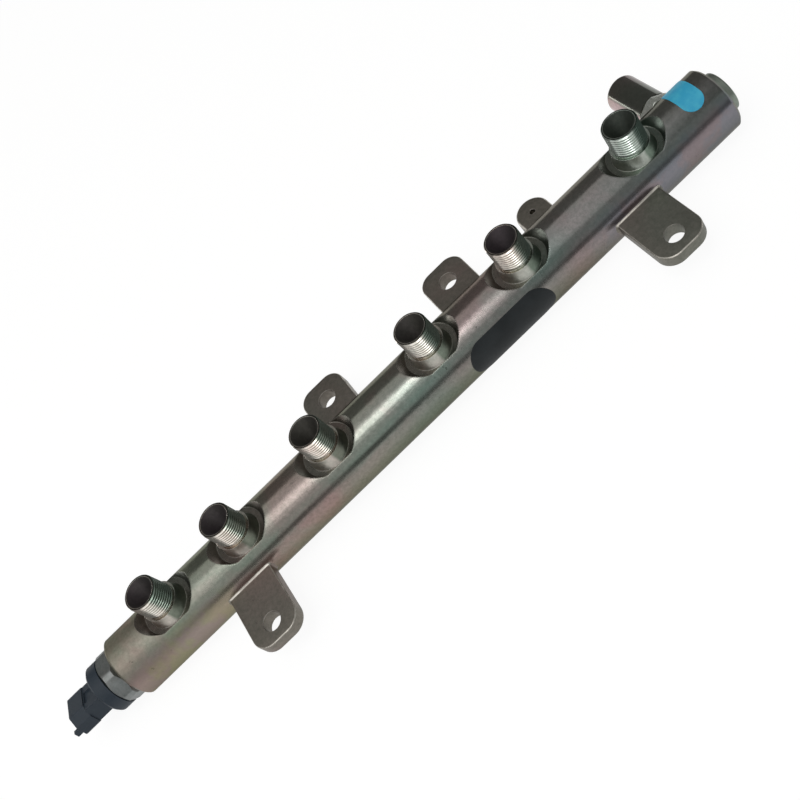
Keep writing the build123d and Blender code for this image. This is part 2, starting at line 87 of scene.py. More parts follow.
def feed(tree, socket, value):
    """Links a value into a socket where it comes from another node, or else sets it there."""
    if isinstance(value, bpy.types.NodeSocket):
        tree.links.new(value, socket)
    else:
        socket.default_value = value


def noise(tree, place, scale, detail=3.0, roughness=0.5, distortion=0.0):
    """A noise texture at so many features per metre, read on the given coordinates."""
    node = tree.nodes.new("ShaderNodeTexNoise")
    feed(tree, node.inputs["Vector"], place)
    feed(tree, node.inputs["Scale"], scale)
    feed(tree, node.inputs["Detail"], detail)
    feed(tree, node.inputs["Roughness"], roughness)
    feed(tree, node.inputs["Distortion"], distortion)
    return node.outputs["Fac"]


def spread(tree, value, low, high, to_low=0.0, to_high=1.0):
    """Maps a value's range low..high onto to_low..to_high, clamped."""
    node = tree.nodes.new("ShaderNodeMapRange")
    feed(tree, node.inputs["Value"], value)
    feed(tree, node.inputs["From Min"], low)
    feed(tree, node.inputs["From Max"], high)
    feed(tree, node.inputs["To Min"], to_low)
    feed(tree, node.inputs["To Max"], to_high)
    return node.outputs["Result"]


def mixed(tree, factor, first, second, how="MIX"):
    """Mixes two colours by a factor."""
    node = tree.nodes.new("ShaderNodeMix")
    node.data_type = "RGBA"
    node.blend_type = how
    factor_socket, first_socket, second_socket = node.inputs[0], node.inputs[6], node.inputs[7]
    feed(tree, factor_socket, factor)
    feed(tree, first_socket, first)
    feed(tree, second_socket, second)
    return node.outputs[2]


def figured(tree, operation, *values):
    """The result of one sum: a Math node on one or two values."""
    node = tree.nodes.new("ShaderNodeMath")
    node.operation = operation
    for socket, value in zip(node.inputs, values):
        feed(tree, socket, value)
    return node.outputs[0]


def effect_group(name, inputs, outputs):
    """A new node group, with what it is given and what it puts out, by name and kind."""
    group = bpy.data.node_groups.new(name, "ShaderNodeTree")
    for direction, sockets in (("INPUT", inputs), ("OUTPUT", outputs)):
        for socket, kind in sockets.items():
            group.interface.new_socket(name=socket, in_out=direction, socket_type=f"NodeSocket{kind}")
    given = group.nodes.new("NodeGroupInput").outputs
    put_out = group.nodes.new("NodeGroupOutput").inputs
    return group, given, put_out


def placed_effect(tree, group, values):
    """Places a node group in a material's tree, with its values by socket name."""
    node = tree.nodes.new("ShaderNodeGroup")
    node.node_tree = group
    for name, value in values.items():
        feed(tree, node.inputs[name], value)
    return node.outputs


# The plating's thin film drifts between three tints in soft clouds, over the fine grain of
# the metal under it, with scattered dark pits of wear.
RIPPLE_STRETCH = (1.0, 0.14, 0.14)
MOTTLE_DARK = (0.80, 0.82, 0.80, 1)
MOTTLE_LIGHT = (1.16, 1.14, 1.14, 1)
PIT_COLOUR = (0.03, 0.03, 0.025, 1)

plated, given, put_out = effect_group(
    "plated film",
    {
        "Coordinates": "Vector",
        "Base": "Color",
        "Warm": "Color",
        "Cool": "Color",
        "Clouds": "Float",
        "Specks": "Float",
        "Ripple": "Float",
        "Roughness": "Float",
    },
    {"Color": "Color", "Roughness": "Float", "Height": "Float"},
)
place = given["Coordinates"]
clouds = noise(plated, place, given["Clouds"], distortion=0.6)
cool_drift = noise(plated, place, 9.0, detail=2.0)
grain = noise(plated, place, 1400.0, roughness=0.6)
waves = noise(plated, place, 130.0, detail=2.0, roughness=0.45)
pits = noise(plated, place, 420.0, detail=4.0, roughness=0.65)
patches = noise(plated, place, 38.0, roughness=0.6)
mottle = noise(plated, place, 520.0, detail=5.0, roughness=0.7)
stretched = plated.nodes.new("ShaderNodeVectorMath")
stretched.operation = "MULTIPLY"
stretched.inputs[1].default_value = RIPPLE_STRETCH
plated.links.new(place, stretched.inputs[0])
ripple = noise(plated, stretched.outputs["Vector"], 620.0, roughness=0.55, distortion=0.4)

warm_share = spread(plated, clouds, 0.42, 0.62)
cool_share = spread(plated, cool_drift, 0.45, 0.62)
film = mixed(plated, warm_share, given["Base"], given["Warm"])
film = mixed(plated, cool_share, film, given["Cool"])
mottle_colour = mixed(plated, spread(plated, mottle, 0.3, 0.7), MOTTLE_DARK, MOTTLE_LIGHT)
film = mixed(plated, 1.0, film, mottle_colour, "MULTIPLY")
pit_mask = spread(plated, pits, 0.62, 0.72)
pit_mask = figured(plated, "MULTIPLY", pit_mask, spread(plated, patches, 0.5, 0.66))
pit_mask = figured(plated, "MULTIPLY", pit_mask, given["Specks"])
plated.links.new(mixed(plated, pit_mask, film, PIT_COLOUR), put_out["Color"])

rough = figured(plated, "ADD", given["Roughness"], spread(plated, grain, 0.3, 0.7, -0.02, 0.02))
rough = figured(plated, "ADD", rough, spread(plated, patches, 0.35, 0.65, -0.03, 0.05))
rough = figured(plated, "ADD", rough, figured(plated, "MULTIPLY", pit_mask, 0.3))
plated.links.new(rough, put_out["Roughness"])

ripple_share = figured(plated, "MULTIPLY", given["Ripple"], spread(plated, patches, 0.4, 0.6))
grain_height = figured(plated, "MULTIPLY", grain, 0.4)
wave_height = figured(plated, "MULTIPLY", waves, 6.0)
pit_depth = figured(plated, "MULTIPLY", pit_mask, 2.0)
relief = figured(plated, "ADD", grain_height, wave_height)
relief = figured(plated, "ADD", relief, figured(plated, "MULTIPLY", ripple, ripple_share))
relief = figured(plated, "SUBTRACT", relief, pit_depth)
plated.links.new(relief, put_out["Height"])


def surface(name, metallic, roughness):
    """A material with one Principled shader, and its tree, shader and coordinates."""
    material = bpy.data.materials.new(name)
    material.use_nodes = True
    tree = material.node_tree
    shader = tree.nodes["Principled BSDF"]
    shader.inputs["Metallic"].default_value = metallic
    shader.inputs["Roughness"].default_value = roughness
    place = tree.nodes.new("ShaderNodeTexCoord").outputs["Object"]
    return material, tree, shader, place


def raise_surface(tree, shader, height, distance, rounding=0.0):
    """Feeds a height into the shader's Normal, with sharp edges shaded as if rounded."""
    bump = tree.nodes.new("ShaderNodeBump")
    if rounding:
        rounded = tree.nodes.new("ShaderNodeBevel")
        rounded.samples = 4
        rounded.inputs["Radius"].default_value = rounding
        tree.links.new(rounded.outputs["Normal"], bump.inputs["Normal"])
    bump.inputs["Distance"].default_value = distance
    tree.links.new(height, bump.inputs["Height"])
    tree.links.new(bump.outputs["Normal"], shader.inputs["Normal"])


def plated_metal(
    name,
    base,
    warm,
    cool,
    roughness,
    clouds=22.0,
    specks=0.5,
    relief=0.01 * MM,
    rounding=0.0,
    ripple=0.0,
):
    """A metal whose colour, gloss and fine relief come from the plated film group."""
    material, tree, shader, place = surface(name, 1.0, roughness)
    film = placed_effect(
        tree,
        plated,
        {
            "Coordinates": place,
            "Base": (*base, 1),
            "Warm": (*warm, 1),
            "Cool": (*cool, 1),
            "Clouds": clouds,
            "Specks": specks,
            "Ripple": ripple,
            "Roughness": roughness,
        },
    )
    tree.links.new(film["Color"], shader.inputs["Base Color"])
    tree.links.new(film["Roughness"], shader.inputs["Roughness"])
    raise_surface(tree, shader, film["Height"], relief, rounding)
    return material


tube_steel_painted_light = plated_metal(
    "tube plating",
    base=(0.262, 0.268, 0.250),
    warm=(0.305, 0.250, 0.248),
    cool=(0.215, 0.268, 0.246),
    roughness=0.19,
    clouds=34.0,
    specks=0.8,
    relief=0.006 * MM,
    rounding=1.1 * MM,
    ripple=1.6,
)
lug_steel_edge_highlit = plated_metal(
    "lug plating",
    base=(0.232, 0.214, 0.186),
    warm=(0.250, 0.208, 0.186),
    cool=(0.205, 0.205, 0.178),
    roughness=0.40,
    relief=0.02 * MM,
    rounding=0.5 * MM,
)
nipple_steel_side_shaded = plated_metal(
    "nipple steel",
    base=(0.64, 0.61, 0.55),
    warm=(0.68, 0.59, 0.53),
    cool=(0.54, 0.60, 0.55),
    roughness=0.20,
    clouds=60.0,
    specks=0.2,
    rounding=0.3 * MM,
)
flare_steel_side_shaded = plated_metal(
    "nipple foot skin",
    base=(0.60, 0.575, 0.52),
    warm=(0.64, 0.555, 0.51),
    cool=(0.52, 0.56, 0.51),
    roughness=0.40,
    clouds=60.0,
    specks=0.6,
    relief=0.03 * MM,
    rounding=0.3 * MM,
)
# The milled rings' film is painted darker than the tube's, as painted shade in the pockets around the
# nipples.
ring_steel_shaded_and_highlit = plated_metal(
    "milled ring steel",
    base=(0.19, 0.185, 0.16),
    warm=(0.21, 0.175, 0.155),
    cool=(0.15, 0.18, 0.155),
    roughness=0.26,
    rounding=1.1 * MM,
)
# The pipe seats' film is painted dark, as painted shade inside the bores.
shaded_seat_steel = plated_metal(
    "pipe seat steel",
    base=(0.135, 0.130, 0.118),
    warm=(0.14, 0.12, 0.13),
    cool=(0.115, 0.13, 0.115),
    roughness=0.6,
)


def film_of(material):
    """A metal's tree, its coordinates, its film's colour so far and the socket it feeds."""
    tree = material.node_tree
    base_colour = tree.nodes["Principled BSDF"].inputs["Base Color"]
    coordinates = tree.nodes["Texture Coordinate"].outputs
    return tree, coordinates, base_colour.links[0].from_socket, base_colour


# Handling polishes sharp edges in patches, and the lighter edges are also painted highlights,
# where rounded edges would catch the light. Next to an edge, the rounded normal leans away
# from the true one, so the less they are alike, the more the edge is worn and highlit.
worn_and_highlit_edges, given, put_out = effect_group(
    "worn edges",
    {"Coordinates": "Vector", "Normal": "Vector", "Radius": "Float", "Film": "Color", "Bright": "Color"},
    {"Color": "Color"},
)
rounded = worn_and_highlit_edges.nodes.new("ShaderNodeBevel")
rounded.samples = 8
worn_and_highlit_edges.links.new(given["Radius"], rounded.inputs["Radius"])
likeness = worn_and_highlit_edges.nodes.new("ShaderNodeVectorMath")
likeness.operation = "DOT_PRODUCT"
worn_and_highlit_edges.links.new(rounded.outputs["Normal"], likeness.inputs[0])
worn_and_highlit_edges.links.new(given["Normal"], likeness.inputs[1])
on_edge = spread(worn_and_highlit_edges, likeness.outputs["Value"], 0.985, 0.90)
patchy = noise(worn_and_highlit_edges, given["Coordinates"], 240.0, roughness=0.6)
patchy = spread(worn_and_highlit_edges, patchy, 0.35, 0.6, 0.35, 1.0)
worn_and_highlight_share = figured(worn_and_highlit_edges, "MULTIPLY", on_edge, patchy)
worn_and_highlit_edges.links.new(mixed(worn_and_highlit_edges, worn_and_highlight_share, given["Film"], given["Bright"]), put_out["Color"])


def wear_and_highlight_edges(material, radius, bright):
    """Lightens a metal's film along its sharp edges, as wear and as a painted highlight."""
    tree, coordinates, film_colour, base_colour = film_of(material)
    worn = placed_effect(
        tree,
        worn_and_highlit_edges,
        {
            "Coordinates": coordinates["Object"],
            "Normal": tree.nodes.new("ShaderNodeNewGeometry").outputs["Normal"],
            "Radius": radius,
            "Film": film_colour,
            "Bright": bright,
        },
    )
    tree.links.new(worn["Color"], base_colour)


# Painted light and shade by facing: a film is multiplied by a tone where the surface faces
# along the rail, from none at Low to all at High.
painted_side_light, given, put_out = effect_group(
    "side tone",
    {"Facing": "Vector", "Low": "Float", "High": "Float", "Film": "Color", "Tone": "Color"},
    {"Color": "Color"},
)
facing = painted_side_light.nodes.new("ShaderNodeSeparateXYZ")
painted_side_light.links.new(given["Facing"], facing.inputs[0])
share = spread(painted_side_light, facing.outputs["X"], given["Low"], given["High"])
toned = mixed(painted_side_light, 1.0, given["Film"], given["Tone"], "MULTIPLY")
painted_side_light.links.new(mixed(painted_side_light, share, given["Film"], toned), put_out["Color"])


def paint_light_by_facing(material, low, high, tone):
    """Paints light and shade on a metal's film: it is multiplied by a tone where its surface faces along
    the rail.
    """
    tree, coordinates, film_colour, base_colour = film_of(material)
    toned = placed_effect(
        tree,
        painted_side_light,
        {"Facing": coordinates["Normal"], "Low": low, "High": high, "Film": film_colour, "Tone": tone},
    )
    tree.links.new(toned["Color"], base_colour)


# Painted shade: the nipples' film is darker on the sides that face the plug.
PAINTED_SHADE_FACING = (0.02, 0.16)
paint_light_by_facing(nipple_steel_side_shaded, *PAINTED_SHADE_FACING, tone=(0.32, 0.40, 0.37, 1))
paint_light_by_facing(flare_steel_side_shaded, *PAINTED_SHADE_FACING, tone=(0.40, 0.48, 0.43, 1))

# The lugs' and rings' sharp edges are worn and carry painted highlights, and so do the lugs'
# rounded rims, whose faces lean between up and sideways: their lighter film is partly
# polish and partly a painted highlight.
WORN_AND_HIGHLIGHT_WIDTH = 0.6 * MM
RIM_POLISH_AND_HIGHLIGHT = (0.78, 0.74, 0.67, 1)
wear_and_highlight_edges(lug_steel_edge_highlit, WORN_AND_HIGHLIGHT_WIDTH, bright=(0.50, 0.47, 0.43, 1))
wear_and_highlight_edges(ring_steel_shaded_and_highlit, WORN_AND_HIGHLIGHT_WIDTH, bright=(0.62, 0.62, 0.56, 1))
tree, coordinates, film_colour, base_colour = film_of(lug_steel_edge_highlit)
facing = tree.nodes.new("ShaderNodeSeparateXYZ")
tree.links.new(coordinates["Normal"], facing.inputs[0])
past_sideways = spread(tree, facing.outputs["Z"], 0.30, 0.50)
short_of_up = spread(tree, facing.outputs["Z"], 0.97, 0.90)
leaning = figured(tree, "MULTIPLY", past_sideways, short_of_up)
patchy = noise(tree, coordinates["Object"], 210.0, roughness=0.6)
patchy = spread(tree, patchy, 0.35, 0.6, 0.4, 1.0)
polished_and_highlit = mixed(tree, figured(tree, "MULTIPLY", leaning, patchy), film_colour, RIM_POLISH_AND_HIGHLIGHT)
tree.links.new(polished_and_highlit, base_colour)

# The tube's film changes tint around the tube, and painted reflections and shade are laid
# into those tints: the dark bands near -52 and 123 degrees and the darker low flank from 92
# to 123 degrees stand in for dark surroundings and the floor's shadow seen in the metal.
# Degrees from straight up towards the near side, and the tint there.
TINT_FROM, TINT_TO = radians(-180), radians(180)
TINTS_AND_PAINTED_REFLECTIONS = (
    (-180, (0.80, 0.78, 0.70)),
    (-110, (0.92, 0.90, 0.84)),
    (-66, (0.84, 0.84, 0.78)),
    (-52, (0.46, 0.46, 0.42)),
    (-40, (0.55, 0.55, 0.50)),
    (-25, (0.92, 0.92, 0.86)),
    (0, (0.98, 0.98, 0.92)),
    (20, (1.0, 1.0, 0.98)),
    (40, (0.94, 1.0, 0.97)),
    (52, (0.80, 0.95, 0.90)),
    (63, (0.90, 0.92, 0.90)),
    (70, (1.04, 0.92, 0.91)),
    (82, (1.08, 0.95, 0.91)),
    (92, (0.88, 0.80, 0.71)),
    (104, (0.78, 0.73, 0.62)),
    (114, (0.58, 0.55, 0.46)),
    (123, (0.36, 0.35, 0.30)),
    (140, (0.74, 0.72, 0.64)),
    (180, (0.80, 0.78, 0.70)),
)
# It also changes along the tube, from the sensor's end at 0 to the plug's at 1: the film turns mauve
# towards the plug, and painted light makes the sensor's end brighter.
TINTED_HALF_LENGTH = 0.199
LENGTH_TINTS_AND_LIGHT = (
    (0.0, (1.28, 1.27, 1.12)),
    (0.12, (1.12, 1.12, 1.04)),
    (0.55, (1.0, 1.0, 1.0)),
    (0.80, (1.10, 0.96, 1.03)),
    (1.0, (1.06, 0.84, 0.91)),
)
EDGE_TINT = (0.66, 0.65, 0.60)
# On the near flank the film breaks into yellow and pink at the sensor end, mauve and blue
# at the plug end: metres along the rail where each starts and is full, share, two colours.
# The flank starts and is full at these shares of the way around.
FLANK = (0.62, 0.68)
FILM_PATCHES = (
    (-0.11, -0.16, 0.65, (0.36, 0.34, 0.22), (0.37, 0.29, 0.275)),
    (0.10, 0.15, 0.50, (0.30, 0.24, 0.27), (0.23, 0.25, 0.31)),
)
# The sensor's end of the tube is duller: metres along the rail up to which it is wholly so
# and beyond which it isn't, and the roughness that it adds.
MATT_FULL, MATT_GONE, MATT_EXTRA = -0.185, -0.135, 0.32


def colour_ramp(tree, value, stops):
    """A colour ramp read at a value from 0 to 1; stops are (place, colour) pairs."""
    node = tree.nodes.new("ShaderNodeValToRGB")
    ramp = node.color_ramp
    while len(ramp.elements) < len(stops):
        ramp.elements.new(0.5)
    for element, (where, colour) in zip(ramp.elements, stops):
        element.position = where
        element.color = (*colour, 1)
    tree.links.new(value, node.inputs["Fac"])
    return node.outputs["Color"]


tree, coordinates, film_colour, base_colour = film_of(tube_steel_painted_light)
shader = tree.nodes["Principled BSDF"]
place = coordinates["Object"]
parts = tree.nodes.new("ShaderNodeSeparateXYZ")
tree.links.new(place, parts.inputs[0])
towards_near = figured(tree, "MULTIPLY", parts.outputs["Y"], -1.0)
angle_drift = spread(tree, noise(tree, place, 16.0, roughness=0.55), 0.3, 0.7, -0.10, 0.10)
around = figured(tree, "ARCTAN2", towards_near, parts.outputs["Z"])
around = spread(tree, figured(tree, "ADD", around, angle_drift), TINT_FROM, TINT_TO)
# Painted reflections and shade are read off the same ramp as the tints.
tint_and_reflection_stops = [((radians(angle) - TINT_FROM) / (TINT_TO - TINT_FROM), tint) for angle, tint in TINTS_AND_PAINTED_REFLECTIONS]
tints_and_reflections = colour_ramp(tree, around, tint_and_reflection_stops)
length_drift = spread(tree, noise(tree, place, 11.0, detail=2.0), 0.3, 0.7, -0.02, 0.02)
along = figured(tree, "ADD", parts.outputs["X"], length_drift)
length_share = spread(tree, along, -TINTED_HALF_LENGTH, TINTED_HALF_LENGTH)
length_tints_and_light = colour_ramp(tree, length_share, LENGTH_TINTS_AND_LIGHT)
# The film is multiplied by both ramps, painted light and shade included.
tinted_and_painted_light = mixed(tree, 1.0, film_colour, tints_and_reflections, "MULTIPLY")
tinted_and_painted_light = mixed(tree, 1.0, tinted_and_painted_light, length_tints_and_light, "MULTIPLY")
patchy = spread(tree, noise(tree, place, 55.0, roughness=0.6), 0.44, 0.56)
flank = spread(tree, around, *FLANK)
for start, full, strength, first, second in FILM_PATCHES:
    patch_colour = mixed(tree, patchy, (*first, 1), (*second, 1))
    near_end = figured(tree, "MULTIPLY", spread(tree, along, start, full), strength)
    tinted_and_painted_light = mixed(tree, figured(tree, "MULTIPLY", flank, near_end), tinted_and_painted_light, patch_colour)
tree.links.new(tinted_and_painted_light, base_colour)
shader.inputs["Specular Tint"].default_value = (*EDGE_TINT, 1)
matt_end = spread(tree, along, MATT_FULL, MATT_GONE, MATT_EXTRA, 0.0)
rough = figured(tree, "ADD", shader.inputs["Roughness"].links[0].from_socket, matt_end)
tree.links.new(rough, shader.inputs["Roughness"])


def merged_copy(node):
    """A bmesh of a CAD node with its loose triangles joined up."""
    mesh = bmesh.new()
    mesh.from_mesh(frame["nodes"][node].data)
    bmesh.ops.remove_doubles(mesh, verts=mesh.verts, dist=JOIN_DISTANCE)
    return mesh


def made_object(mesh, name, materials, crease=30):
    """Turns a bmesh into a smooth-shaded object whose edges sharper than crease stay sharp."""
    for face in mesh.faces:
        face.smooth = True
    for edge in mesh.edges:
        if len(edge.link_faces) == 2 and edge.calc_face_angle() > radians(crease):
            edge.smooth = False
    data = bpy.data.meshes.new(name)
    mesh.to_mesh(data)
    mesh.free()
    for material in materials:
        data.materials.append(material)
    made = bpy.data.objects.new(name, data)
    bpy.context.scene.collection.objects.link(made)
    return made


def nearest_outlet(point):
    """The x of the outlet nearest to a point, and the point's distance from its axis."""
    x = min(OUTLET_PLACES, key=lambda place: abs(place - point.x))
    return x, Vector((point.x - x, point.y)).length


rail_finishes = [tube_steel_painted_light, lug_steel_edge_highlit, nipple_steel_side_shaded, ring_steel_shaded_and_highlit, shaded_seat_steel, flare_steel_side_shaded]
TUBE, LUG, NIPPLE, RING, SEAT, FLARE = range(len(rail_finishes))
forging = merged_copy("rail_body")
threads_band = []
for face in forging.faces:
    middle = face.calc_center_median()
    outlet_x, reach = nearest_outlet(middle)
    in_nipple = middle.z > RING_FLOOR - NEAR and reach < NIPPLE_BASE_RADIUS + NEAR
    in_ring = middle.z > RING_FLOOR - NEAR and reach < RING_RADIUS
    on_tube = abs(Vector((middle.y, middle.z)).length - TUBE_RADIUS) < TUBE_TOLERANCE
    threaded_height = THREAD_FOOT + NEAR < middle.z < NIPPLE_MOUTH - NEAR
    if threaded_height and reach > THREAD_RADIUS - THREADED_SKIN:
        threads_band.append(face)
    elif in_nipple and middle.z < FLARE_TOP - NEAR:
        face.material_index = FLARE
    elif in_nipple and reach < THREAD_RADIUS - SEAT_RIM and middle.z < NIPPLE_MOUTH - NEAR:
        face.material_index = SEAT
    elif in_nipple:
        face.material_index = NIPPLE
    elif in_ring and not on_tube:
        face.material_index = RING
    elif abs(middle.y) > TUBE_RADIUS or (abs(middle.y) > LUG_START and not on_tube):
        face.material_index = LUG
bmesh.ops.delete(forging, geom=threads_band, context="FACES")
rail = made_object(forging, "rail_forging", rail_finishes, crease=24)
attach(rail, "rail")
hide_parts("rail_body")


# Outlet threads: M18 x 1.5, rolled on the six nipples for the pipes' union nuts.
# Each is one V-shaped ridge that climbs the nipple like a screw, cut off square at the
# undercut and turned to a short cone at the mouth.
THREAD_PITCH = 1.5 * MM
THREAD_DEPTH = 0.92 * MM
CREST_FLAT = 0.19 * MM
ROOT_FLAT = 0.25 * MM
THREAD_STEPS = 96
THREAD_JOIN = 0.01 * MM
THREAD_LEAD = NIPPLE_MOUTH - THREAD_TOP
SPARE_TURNS = 3
thread_steel_side_shaded = plated_metal(
    "thread steel",
    base=(0.64, 0.61, 0.56),
    warm=(0.68, 0.59, 0.54),
    cool=(0.54, 0.60, 0.56),
    roughness=0.17,
    clouds=60.0,
    specks=0.3,
)
# Painted shade: the threads' film is darker on the sides that face the plug.
paint_light_by_facing(thread_steel_side_shaded, *PAINTED_SHADE_FACING, tone=(0.30, 0.38, 0.35, 1))


def thread_ridge(outlet_x):
    """The helical ridge of one outlet, longer than the thread at both ends."""
    ridge = bmesh.new()
    turns = int((THREAD_TOP - THREAD_FOOT) / THREAD_PITCH) + SPARE_TURNS
    flank_rise = (THREAD_PITCH - CREST_FLAT - ROOT_FLAT) / 2
    profile = []
    for turn in range(turns):
        foot = THREAD_FOOT + (turn - SPARE_TURNS / 2) * THREAD_PITCH
        for radius, rise in (
            (THREAD_RADIUS - THREAD_DEPTH, 0),
            (THREAD_RADIUS - THREAD_DEPTH, ROOT_FLAT),
            (THREAD_RADIUS, ROOT_FLAT + flank_rise),
            (THREAD_RADIUS, ROOT_FLAT + flank_rise + CREST_FLAT),
        ):
            profile.append(ridge.verts.new((outlet_x + radius, 0, foot + rise)))
    edges = [ridge.edges.new(pair) for pair in zip(profile, profile[1:])]
    bmesh.ops.spin(
        ridge,
        geom=profile + edges,
        cent=(outlet_x, 0, 0),
        axis=(0, 0, 1),
        dvec=(0, 0, THREAD_PITCH / THREAD_STEPS),
        angle=2 * pi,
        steps=THREAD_STEPS,
    )
    bmesh.ops.remove_doubles(ridge, verts=ridge.verts, dist=THREAD_JOIN)
    return ridge


def trim_ends(ridge, outlet_x):
    """Cuts a ridge off at the undercut and the mouth, and turns its top to a short cone."""
    for height, above in ((THREAD_FOOT, False), (NIPPLE_MOUTH, True)):
        bmesh.ops.bisect_plane(
            ridge,
            geom=ridge.verts[:] + ridge.edges[:] + ridge.faces[:],
            plane_co=(outlet_x, 0, height),
            plane_no=(0, 0, 1),
            clear_outer=above,
            clear_inner=not above,
        )
    bmesh.ops.recalc_face_normals(ridge, faces=ridge.faces)
    for vert in ridge.verts:
        offset = Vector((vert.co.x - outlet_x, vert.co.y))
        limit = THREAD_RADIUS - max(0.0, vert.co.z - THREAD_TOP)
        if offset.length > limit:
            offset *= limit / offset.length
            vert.co.x = outlet_x + offset.x
            vert.co.y = offset.y


def close_mouth(ridge, outlet_x):
    """Adds a flat ring at the nipple's mouth, between the ridge's root and its cone."""
    rim = bmesh.ops.create_circle(
        ridge, cap_ends=False, radius=THREAD_RADIUS - THREAD_DEPTH, segments=THREAD_STEPS
    )["verts"]
    bmesh.ops.translate(ridge, verts=rim, vec=(outlet_x, 0, NIPPLE_MOUTH))
    rim_edges = [edge for edge in ridge.edges if edge.verts[0] in rim and edge.verts[1] in rim]
    for part in bmesh.ops.extrude_edge_only(ridge, edges=rim_edges)["geom"]:
        if isinstance(part, bmesh.types.BMVert):
            outwards = Vector((part.co.x - outlet_x, part.co.y)).normalized()
            offset = outwards * (THREAD_RADIUS - THREAD_LEAD)
            part.co.x = outlet_x + offset.x
            part.co.y = offset.y


for number, outlet_x in enumerate(OUTLET_PLACES, start=1):
    ridge = thread_ridge(outlet_x)
    trim_ends(ridge, outlet_x)
    close_mouth(ridge, outlet_x)
    thread = made_object(ridge, f"outlet_thread_{number}", [thread_steel_side_shaded], crease=50)
    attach(thread, "rail")


# Sensor housing: a turned hexagon of plain grey steel.
# Its threaded stub, out of sight, screws into the end of the rail.
FLAT_ANGLE = 1.5
BEVEL_ANGLE = 28
BEVEL_SEGMENTS = 3
sensor_steel = plated_metal(
    "sensor hexagon steel",
    base=(0.26, 0.275, 0.275),
    warm=(0.28, 0.27, 0.26),
    cool=(0.22, 0.25, 0.25),
    roughness=0.42,
    clouds=40.0,
    specks=0.3,
)


def softened_copy(node, name, material, width):
    """A copy of a CAD node with its flat faces joined and its edges rounded by a bevel."""
    mesh = merged_copy(node)
    bmesh.ops.dissolve_limit(mesh, angle_limit=radians(FLAT_ANGLE), verts=mesh.verts, edges=mesh.edges)
    made = made_object(mesh, name, [material])
    bevel = made.modifiers.new("rounded edges", "BEVEL")
    bevel.width = width
    bevel.segments = BEVEL_SEGMENTS
    bevel.limit_method = "ANGLE"
    bevel.angle_limit = radians(BEVEL_ANGLE)
    bevel.harden_normals = True
    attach(made, "rail")
    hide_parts(node)


softened_copy("sensor_housing", "sensor_hexagon", sensor_steel, 0.35 * MM)


# Sensor connector: one moulding of black glass-filled nylon, with a fine spark-eroded
# texture that is a little worn and dusty. Its spigot fits into the housing's pocket.
moulded, tree, shader, place = surface("black moulding", 0.0, 0.42)
dust = spread(tree, noise(tree, place, 160.0, detail=4.0, roughness=0.6), 0.45, 0.75)
texture = noise(tree, place, 2600.0, detail=2.0)
dust_share = figured(tree, "MULTIPLY", dust, 0.35)
colour = mixed(tree, dust_share, (0.017, 0.030, 0.046, 1), (0.055, 0.070, 0.085, 1))
tree.links.new(colour, shader.inputs["Base Color"])
tree.links.new(spread(tree, dust, 0, 1, 0.5, 0.62), shader.inputs["Roughness"])
raise_surface(tree, shader, texture, 0.012 * MM)
softened_copy("sensor_connector", "sensor_connector_moulding", moulded, 0.5 * MM)


# Sensor cell and carrier: a steel cup whose thin top bends with the fuel pressure, and the
# black plastic ring around it that carries the board. Both stand on the pocket's floor.
def finish_node(node, material):
    """Gives its finish to a CAD node that keeps its own mesh."""
    data = frame["nodes"][node].data
    data.materials.clear()
    data.materials.append(material)


finish_node("sensor_cell", sensor_steel)
finish_node("sensor_carrier", moulded)


# Sensor board: a round circuit board under green lacquer.
# It lies on the carrier, and the three terminals rise from it.
board, tree, shader, place = surface("circuit board lacquer", 0.0, 0.35)
lacquer = mixed(tree, noise(tree, place, 900.0), (0.02, 0.12, 0.05, 1), (0.03, 0.20, 0.09, 1))
tree.links.new(lacquer, shader.inputs["Base Color"])
finish_node("sensor_board", board)


# Sensor terminals: three flat blades of tinned brass.
# They run from the board, through the moulding, into the connector's socket.
terminal_metal = plated_metal(
    "tinned terminal",
    base=(0.70, 0.68, 0.62),
    warm=(0.72, 0.68, 0.60),
    cool=(0.66, 0.67, 0.66),
    roughness=0.25,
    clouds=200.0,
    specks=0.1,
)
for number in (1, 2, 3):
    finish_node(f"sensor_terminal_{number}", terminal_metal)


# Sensor seal: a moulded ring of black rubber.
# It lies in a groove of the connector's spigot, between that and the housing's pocket.
rubber, tree, shader, place = surface("seal rubber", 0.0, 0.6)
skin = mixed(tree, noise(tree, place, 1500.0), (0.012, 0.012, 0.012, 1), (0.03, 0.03, 0.03, 1))
tree.links.new(skin, shader.inputs["Base Color"])
raise_surface(tree, shader, noise(tree, place, 3000.0), 0.01 * MM)
finish_node("sensor_seal", rubber)


# Relief valve body: turned steel, plated bright, with a hexagon and a groove beside it.
# Its thread, out of sight, screws into the side of the rail near the plug.
valve_hexagon_steel = plated_metal(
    "valve hexagon plating",
    base=(0.82, 0.80, 0.74),
    warm=(0.84, 0.78, 0.73),
    cool=(0.76, 0.79, 0.74),
    roughness=0.22,
    clouds=60.0,
    specks=0.2,
)
softened_copy(
    "relief_valve_body", "relief_valve_hexagon", valve_hexagon_steel, 0.3 * MM
)


# Relief valve sleeve: a smooth dark plated cup with a rounded end, pushed over the valve
# body's spigot. A painted reflection makes its film paler and pinker on the side that faces the sensor.
PAINTED_REFLECTION_FACING = (-0.80, -0.88)
sleeve_steel_painted_reflection = plated_metal(
    "valve sleeve plating",
    base=(0.20, 0.185, 0.155),
    warm=(0.28, 0.20, 0.21),
    cool=(0.16, 0.17, 0.15),
    roughness=0.15,
    clouds=30.0,
    specks=0.3,
    relief=0.003 * MM,
)
paint_light_by_facing(sleeve_steel_painted_reflection, *PAINTED_REFLECTION_FACING, tone=(3.2, 2.5, 2.8, 1))
finish_node("relief_valve_sleeve", sleeve_steel_painted_reflection)


